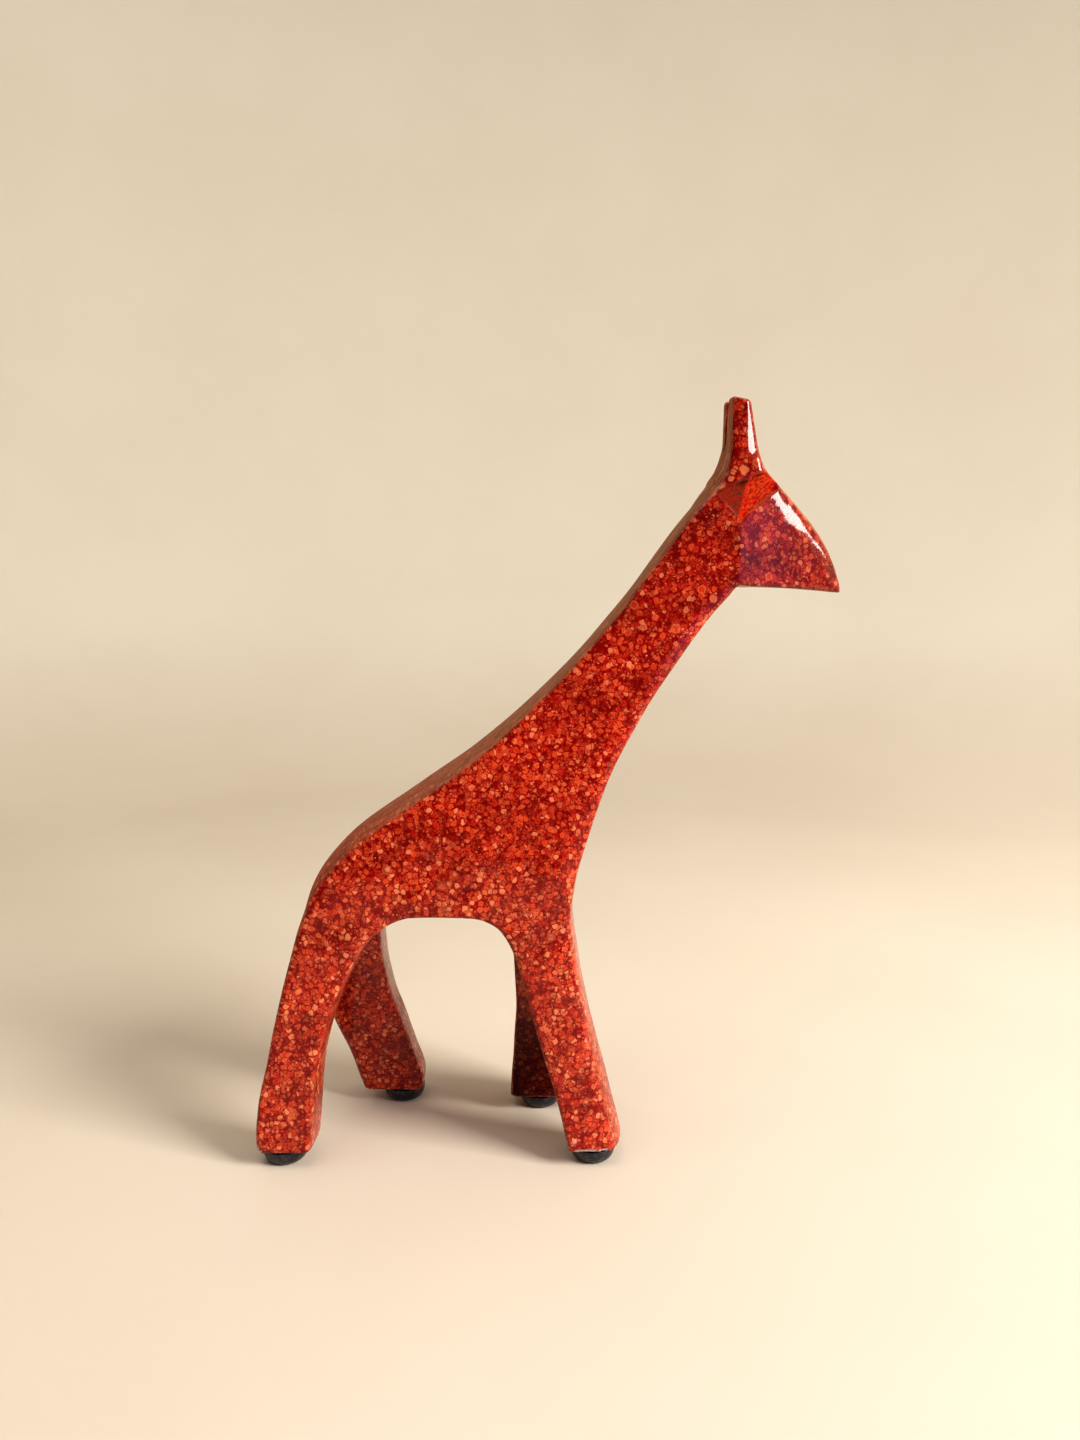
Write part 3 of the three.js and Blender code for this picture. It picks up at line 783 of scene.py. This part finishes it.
def tonedPaint(tree, tone, fromOrange=0.3, fromSalmon=0.78):
    # crimson for the low tones, orange for the middle ones, salmon for the few highest
    paint = mixColour(tree, rangeOf(tree, tone, fromOrange, fromOrange + 0.4),
                      stoneLook["crimson"], stoneLook["orange"])
    return mixColour(tree, rangeOf(tree, tone, fromSalmon, 1.0), paint, stoneLook["salmon"])


def shifted(tree, place, number):
    # the same place moved far along, so that layers don't repeat one another
    return addNode(tree, "ShaderNodeVectorMath", {0: place, 1: (13.7 * number, 5.1 * number, 9.3 * number)},
                   operation="ADD").outputs[0]


def makeStoneMaterial():
    material, tree, shader = newMaterial("dyedStone")
    place = positionInMillimetres(tree)
    along, _, height = addNode(tree, "ShaderNodeSeparateXYZ", {0: place}).outputs
    warp = addNode(tree, "ShaderNodeTexNoise", {"Vector": place, "Scale": 0.7, "Detail": 1.0})
    lean = addNode(tree, "ShaderNodeVectorMath", {0: warp.outputs["Color"], 1: (0.5, 0.5, 0.5)},
                   operation="SUBTRACT").outputs[0]
    lean = addNode(tree, "ShaderNodeVectorMath", {0: lean, "Scale": 1.3}, operation="SCALE").outputs[0]
    bent = addNode(tree, "ShaderNodeVectorMath", {0: place, 1: lean}, operation="ADD").outputs[0]
    cloud = addNode(tree, "ShaderNodeTexNoise", {"Vector": place, "Scale": 0.055, "Detail": 3.0}).outputs[0]
    blot = addNode(tree, "ShaderNodeTexNoise", {"Vector": place, "Scale": 0.17, "Detail": 4.0,
                                                "Roughness": 0.6}).outputs[0]
    upNeck = rangeOf(tree, height, 165.0, 255.0)
    lowDown = rangeOf(tree, height, 165.0, 90.0)
    colour = mixColour(tree, rangeOf(tree, blot, 0.38, 0.62), stoneLook["deepRed"], stoneLook["crimson"])
    for number, (spacing, seam, strength, blotFrom) in enumerate(stoneLook["foam"]):
        foam = useGroup(tree, foamGroup, {"Position": shifted(tree, bent, number), "Spacing": spacing,
                                          "Seam": seam})
        paint = tonedPaint(tree, maths(tree, "MULTIPLY_ADD", lowDown, 0.13, foam["Tone"]), 0.18)
        paint = mixColour(tree, maths(tree, "MULTIPLY", foam["Rim"], 0.22), paint, stoneLook["salmon"])
        shown = rangeOf(tree, blot, blotFrom, blotFrom + 0.16, 0.15, strength)
        shown = maths(tree, "SUBTRACT", shown, maths(tree, "MULTIPLY", upNeck, 0.22), clamp=True)
        colour = mixColour(tree, maths(tree, "MULTIPLY", foam["Mask"], shown), colour, paint)
        seamShade = maths(tree, "MULTIPLY", maths(tree, "SUBTRACT", 1.0, foam["Mask"]), 0.6 * strength)
        colour = mixColour(tree, seamShade, colour, stoneLook["deepRed"])
    for number, (spacing, radius, softness, share, strength, lowest) in enumerate(stoneLook["drops"]):
        wanted = maths(tree, "MULTIPLY_ADD", cloud, 0.5, share - 0.22)
        drops = useGroup(tree, dropGroup, {"Position": shifted(tree, bent, number + 3), "Spacing": spacing,
                                           "Radius": radius, "Softness": softness, "Share": wanted})
        tone = maths(tree, "MULTIPLY_ADD", drops["Tone"], 1.0 - lowest, lowest)
        paint = tonedPaint(tree, tone, 0.1, 0.62)
        paint = mixColour(tree, maths(tree, "MULTIPLY", drops["Rim"], 0.5), paint, stoneLook["salmon"])
        if spacing > stoneLook["bigDrop"]:
            strength = rangeOf(tree, upNeck, 0.0, 1.0, 0.4 * strength, strength)
        colour = mixColour(tree, maths(tree, "MULTIPLY", drops["Mask"], strength), colour, paint)
    # darker in clouds, up the neck and on the head
    dim = rangeOf(tree, cloud, 0.3, 0.62, 0.80, 1.08)
    shade = maths(tree, "SUBTRACT", dim, maths(tree, "MULTIPLY", upNeck, 0.20))
    shade = maths(tree, "SUBTRACT", shade, rangeOf(tree, along, 70.0, 84.0, 0.0, 0.22))
    colour = addNode(tree, "ShaderNodeVectorMath", {0: colour, "Scale": shade}, operation="SCALE").outputs[0]
    bend = addNode(tree, "ShaderNodeAttribute", attribute_name="edgeBend").outputs["Fac"]
    wearAndShade = useGroup(tree, wearAndShadeGroup, {"Position": place, "Bend": bend, "From": 0.16, "To": 0.34,
                                      "Grain": 0.6})
    colour = mixColour(tree, maths(tree, "MULTIPLY", wearAndShade["Mask"], 0.3), colour, stoneLook["orange"])
    # painted shade: the creases are darkened towards deep red
    colour = mixColour(tree, maths(tree, "MULTIPLY", wearAndShade["Groove"], 0.6), colour, stoneLook["deepRed"])
    marks = useGroup(tree, scratchGroup, {"Position": place, "Strength": 1.0})
    # knife cuts beside the ears, bare of drops
    cut = addNode(tree, "ShaderNodeAttribute", attribute_name="cutMask").outputs["Fac"]
    cutPaint = mixColour(tree, rangeOf(tree, blot, 0.35, 0.6), stoneLook["crimson"], stoneLook["cutRed"])
    turned = addNode(tree, "ShaderNodeMapping", {"Vector": place, "Rotation": (0.0, 0.85, 0.0)}).outputs[0]
    turned = addNode(tree, "ShaderNodeMapping", {"Vector": turned, "Scale": (0.25, 1.8, 1.8)}).outputs[0]
    strokes = addNode(tree, "ShaderNodeTexNoise", {"Vector": turned, "Scale": 1.0, "Detail": 3.0}).outputs[0]
    cutPaint = mixColour(tree, rangeOf(tree, strokes, 0.46, 0.58, 0.0, 0.85), cutPaint, stoneLook["deepRed"])
    cutPaint = mixColour(tree, rangeOf(tree, strokes, 0.40, 0.30, 0.0, 0.35), cutPaint, stoneLook["orange"])
    # painted shade and reflection: the hollow facet under the ear is painted dark brown, streaked with
    # crimson
    scoop = addNode(tree, "ShaderNodeAttribute", attribute_name="scoopMask").outputs["Fac"]
    scoopPaint = mixColour(tree, rangeOf(tree, strokes, 0.35, 0.65, 0.0, 0.45),
                           stoneLook["scoopShadeBrown"], stoneLook["crimson"])
    colour = mixColour(tree, scoop, colour, scoopPaint)
    colour = mixColour(tree, cut, colour, cutPaint)
    # painted shade between the legs: their inner faces are darkened
    between = addNode(tree, "ShaderNodeAttribute", attribute_name="paintedLegShade").outputs["Fac"]
    darker = maths(tree, "SUBTRACT", 1.0, maths(tree, "MULTIPLY", between, 0.82))
    colour = addNode(tree, "ShaderNodeVectorMath", {0: colour, "Scale": darker}, operation="SCALE").outputs[0]
    # painted reflection: the edge faces that turn up or back are painted brown and tan, as the glancing
    # reflection of the pale backdrop on the red looks, streaked along their length
    back = addNode(tree, "ShaderNodeAttribute", attribute_name="backMask").outputs["Fac"]
    drawn = addNode(tree, "ShaderNodeMapping", {"Vector": place, "Scale": (0.12, 2.0, 0.12)}).outputs[0]
    streak = addNode(tree, "ShaderNodeTexNoise", {"Vector": drawn, "Scale": 1.0, "Detail": 4.0,
                                                  "Roughness": 0.7}).outputs[0]
    backSheen = mixColour(tree, rangeOf(tree, streak, 0.35, 0.66),
                       stoneLook["backSheenBrown"], stoneLook["backSheenTan"])
    redShare = rangeOf(tree, height, 110.0, 200.0, 0.6, 0.2)
    backSheen = mixColour(tree, redShare, backSheen, colour)
    colour = mixColour(tree, back, colour, backSheen)
    chip = addNode(tree, "ShaderNodeAttribute", attribute_name="chipMask").outputs["Fac"]
    colour = mixColour(tree, chip, colour, stoneLook["chipStone"])
    normal = tree.nodes.new("ShaderNodeNewGeometry").outputs["Normal"]
    dust = useGroup(tree, dustGroup, {"Position": place, "Normal": normal, "Amount": 0.05})
    colour = mixColour(tree, dust["Mask"], colour, stoneLook["dust"])
    # matt where the lacquer is missing
    rough = maths(tree, "MULTIPLY_ADD", marks["Mask"], 0.12, stoneLook["roughness"])
    rough = maths(tree, "MAXIMUM", rough, maths(tree, "MULTIPLY", chip, 0.8))
    rough = maths(tree, "MAXIMUM", rough, maths(tree, "MULTIPLY", back, 0.8))
    rough = maths(tree, "MAXIMUM", rough, maths(tree, "MULTIPLY", maths(tree, "MAXIMUM", cut, scoop), 0.66))
    bare = maths(tree, "MAXIMUM", maths(tree, "MULTIPLY", back, 0.95), maths(tree, "MAXIMUM", cut, scoop))
    bare = maths(tree, "MAXIMUM", bare, chip)
    bare = maths(tree, "MAXIMUM", bare, maths(tree, "MULTIPLY", between, 0.65))
    tree.links.new(colour, shader.inputs["Base Color"])
    tree.links.new(rough, shader.inputs["Roughness"])
    tree.links.new(maths(tree, "SUBTRACT", 1.0, bare), shader.inputs["Coat Weight"])
    shader.inputs["Specular IOR Level"].default_value = stoneLook["specular"]
    shader.inputs["Coat Roughness"].default_value = stoneLook["coatRoughness"]
    shader.inputs["Coat IOR"].default_value = stoneLook["coatIor"]
    grain = maths(tree, "MULTIPLY", streak, maths(tree, "MULTIPLY", back, 2.0))
    relief = maths(tree, "ADD", marks["Height"], grain)
    bump = addNode(tree, "ShaderNodeBump", {"Strength": 0.25, "Distance": 0.00005, "Height": relief})
    tree.links.new(bump.outputs[0], shader.inputs["Normal"])
    # slow ripples of the brushed lacquer
    ripple = addNode(tree, "ShaderNodeTexNoise", {"Vector": place, "Scale": 0.28, "Detail": 1.5,
                                                  "Roughness": 0.5}).outputs[0]
    peel = addNode(tree, "ShaderNodeBump", {"Strength": stoneLook["peel"], "Distance": 0.00035,
                                            "Height": ripple})
    tree.links.new(peel.outputs[0], shader.inputs["Coat Normal"])
    return material


rubberLook = {
    "black": (0.010, 0.011, 0.015, 1),
    "bloom": (0.05, 0.052, 0.058, 1),
    "dust": (0.35, 0.30, 0.24, 1),
}


def makeRubberMaterial():
    material, tree, shader = newMaterial("bumperRubber")
    place = positionInMillimetres(tree)
    haze = addNode(tree, "ShaderNodeTexNoise", {"Vector": place, "Scale": 0.5, "Detail": 5.0}).outputs[0]
    colour = mixColour(tree, rangeOf(tree, haze, 0.45, 0.8), rubberLook["black"], rubberLook["bloom"])
    height = addNode(tree, "ShaderNodeSeparateXYZ", {0: place}).outputs[2]
    picked = maths(tree, "MULTIPLY", rangeOf(tree, height, 1.0, 0.0), rangeOf(tree, haze, 0.4, 0.6, 0.0, 0.5))
    colour = mixColour(tree, picked, colour, rubberLook["dust"])
    tree.links.new(colour, shader.inputs["Base Color"])
    tree.links.new(rangeOf(tree, haze, 0.3, 0.8, 0.16, 0.34), shader.inputs["Roughness"])
    grain = addNode(tree, "ShaderNodeTexNoise", {"Vector": place, "Scale": 6.0, "Detail": 3.0}).outputs[0]
    bump = addNode(tree, "ShaderNodeBump", {"Strength": 0.15, "Distance": 0.00005, "Height": grain})
    tree.links.new(bump.outputs[0], shader.inputs["Normal"])
    return material


filmLook = {
    "foam": (0.020, 0.020, 0.022, 1),
    "pore": (0.05, 0.05, 0.052, 1),
    "lint": (0.30, 0.26, 0.22, 1),
}


def makeFilmMaterial():
    material, tree, shader = newMaterial("adhesiveFoam")
    place = positionInMillimetres(tree)
    pores = addNode(tree, "ShaderNodeTexVoronoi", {"Vector": place, "Scale": 4.0}).outputs["Distance"]
    lint = addNode(tree, "ShaderNodeTexNoise", {"Vector": place, "Scale": 1.4, "Detail": 5.0}).outputs[0]
    colour = mixColour(tree, pores, filmLook["foam"], filmLook["pore"])
    colour = mixColour(tree, rangeOf(tree, lint, 0.6, 0.72, 0.0, 0.6), colour, filmLook["lint"])
    tree.links.new(colour, shader.inputs["Base Color"])
    tree.links.new(rangeOf(tree, lint, 0.3, 0.7, 0.55, 0.85), shader.inputs["Roughness"])
    bump = addNode(tree, "ShaderNodeBump", {"Strength": 0.5, "Distance": 0.0001, "Height": pores})
    tree.links.new(bump.outputs[0], shader.inputs["Normal"])
    return material


carvedGiraffe.data.materials.append(makeStoneMaterial())
rubberMaterial, filmMaterial = makeRubberMaterial(), makeFilmMaterial()
for foot in feet:
    foot.data.materials.append(rubberMaterial)
for pad in pads:
    pad.data.materials.append(filmMaterial)
print("materials done")


stage = {
    "floorRadius": 0.75,
    "sweep": 0.65,
    "wallTop": 2.0,
    "paper": (0.66, 0.61, 0.515, 1),
    "paperShade": (0.52, 0.44, 0.35, 1),
    "floorShade": 0.55,     # how far the level floor goes from paper to paperShade
    "flag": (0.035, 0.030, 0.028, 1),
    "flagStart": -0.42,     # the cloth covers the bowl in front of this Y
    "keyPower": 30.0,
    "fillPower": 4.0,
    "skyGlow": 1.3,         # watts per square metre of each panel
    "skyColour": (0.55, 0.42, 1.0),
    "worldStrength": 0.7,
}


def makeBowl(name, inset, frontOnly=False):
    # flat floor, a quarter-circle sweep, then an upright wall, all turned about the middle
    rounds = 96
    floor = np.linspace(0.02, stage["floorRadius"], 8)
    turn = np.linspace(0.0, np.pi / 2, 18)[1:]
    wall = stage["floorRadius"] + stage["sweep"]
    radius = np.concatenate([floor, stage["floorRadius"] + stage["sweep"] * np.sin(turn), [wall]]) - inset
    height = np.concatenate([0.0 * floor, stage["sweep"] * (1 - np.cos(turn)), [stage["wallTop"]]]) + inset
    turnBy = np.linspace(0, 2 * np.pi, rounds, endpoint=False)
    ring = np.stack([radius[:, None] * np.cos(turnBy), radius[:, None] * np.sin(turnBy),
                     np.repeat(height[:, None], rounds, 1)], 2)
    points = np.vstack([ring.reshape(-1, 3), [[0, 0, inset]]])
    faces = bandFaces(len(radius), rounds)[:, ::-1]
    here = np.arange(rounds)
    fan = np.stack([(here + 1) % rounds, np.full(rounds, len(points) - 1), here], 1)
    if frontOnly:
        faces = faces[points[faces][:, :, 1].mean(1) < stage["flagStart"]]
        fan = None
    return makeMesh(name, points, faces, fan)


def makePaperMaterial():
    material, tree, shader = newMaterial("warmPaper")
    place = tree.nodes.new("ShaderNodeTexCoord").outputs["Object"]
    height = addNode(tree, "ShaderNodeSeparateXYZ", {0: place}).outputs[2]
    mottle = addNode(tree, "ShaderNodeTexNoise", {"Vector": place, "Scale": 5.0, "Detail": 4.0}).outputs[0]
    shade = maths(tree, "ADD", rangeOf(tree, mottle, 0.3, 0.7, 0.0, 0.12),
                  rangeOf(tree, height, 0.22, 0.0, 0.0, stage["floorShade"]), clamp=True)
    tree.links.new(mixColour(tree, shade, stage["paper"], stage["paperShade"]), shader.inputs["Base Color"])
    shader.inputs["Roughness"].default_value = 0.9
    shader.inputs["Specular IOR Level"].default_value = 0.2
    return material


def makeFlagMaterial():
    # a black cloth, let in gradually so that its reflection has no hard rim
    material, tree, shader = newMaterial("blackFlag")
    place = tree.nodes.new("ShaderNodeTexCoord").outputs["Object"]
    toFront = addNode(tree, "ShaderNodeSeparateXYZ", {0: place}).outputs[1]
    shader.inputs["Base Color"].default_value = stage["flag"]
    shader.inputs["Roughness"].default_value = 0.9
    tree.links.new(rangeOf(tree, toFront, -0.45, -0.75), shader.inputs["Alpha"])
    return material


bowl = makeBowl("paperBowl", 0.0)
bowl.data.materials.append(makePaperMaterial())
# the black cloth at the front keeps the lacquer dark. No camera sees it and the lamps shine
# through it, but it stops bounced light, so the paper behind it stays dark too
flag = makeBowl("blackFlag", 0.01, True)
flag.data.materials.append(makeFlagMaterial())
flag.visible_camera = flag.visible_shadow = False


def makeAreaLight(name, place, target, size, power, colour):
    data = bpy.data.lights.new(name, "AREA")
    data.shape, data.size, data.size_y = "RECTANGLE", size[0], size[1]
    data.energy, data.color = power, colour
    lamp = bpy.data.objects.new(name, data)
    bpy.context.scene.collection.objects.link(lamp)
    lamp.location = place
    aim = np.array(target) - np.array(place)
    lamp.rotation_euler = Vector(aim).to_track_quat("-Z", "Y").to_euler()
    return lamp


windowLight = makeAreaLight("windowLight", (1.05, -0.57, 0.87), (0.0, 0.0, 0.16), (0.56, 0.60),
                            stage["keyPower"], (1.0, 0.97, 0.93))
fillLight = makeAreaLight("fillLight", (-0.35, -0.3, 1.25), (0.0, 0.05, 0.0), (0.9, 0.9),
                          stage["fillPower"], (1.0, 0.95, 0.88))
# violet glow of the sky, made of panels one behind another so that it fades out at its rim
for step in range(5):
    width, tall = 0.14 + 0.12 * step, 0.2 + 0.13 * step
    place = (0.53 + 0.01 * step, -0.68 - 0.01 * step, 0.26)
    makeAreaLight("skyLight%d" % step, place, (0.03, 0.0, 0.2), (width, tall),
                                   stage["skyGlow"] * width * tall, stage["skyColour"])

world = bpy.data.worlds.new("roomLight")
bpy.context.scene.world = world
world.use_nodes = True
world.node_tree.nodes["Background"].inputs[0].default_value = (1.0, 0.95, 0.88, 1)
world.node_tree.nodes["Background"].inputs[1].default_value = stage["worldStrength"]

cameraData = bpy.data.cameras.new("viewCamera")
cameraData.sensor_fit, cameraData.sensor_width, cameraData.lens = "AUTO", 36.0, 26.0
cameraData.clip_start, cameraData.clip_end = 0.01, 20.0
cameraData.dof.use_dof = False
camera = bpy.data.objects.new("viewCamera", cameraData)
bpy.context.scene.collection.objects.link(camera)
camera.location = (-0.0042, -0.443, 0.2386)
camera.rotation_euler = (math.radians(90 - 7.1), 0.0, 0.0)
bpy.context.scene.camera = camera
bpy.context.scene.view_settings.view_transform = "Standard"
bpy.context.scene.view_settings.look = "Medium High Contrast"

print("stage done")
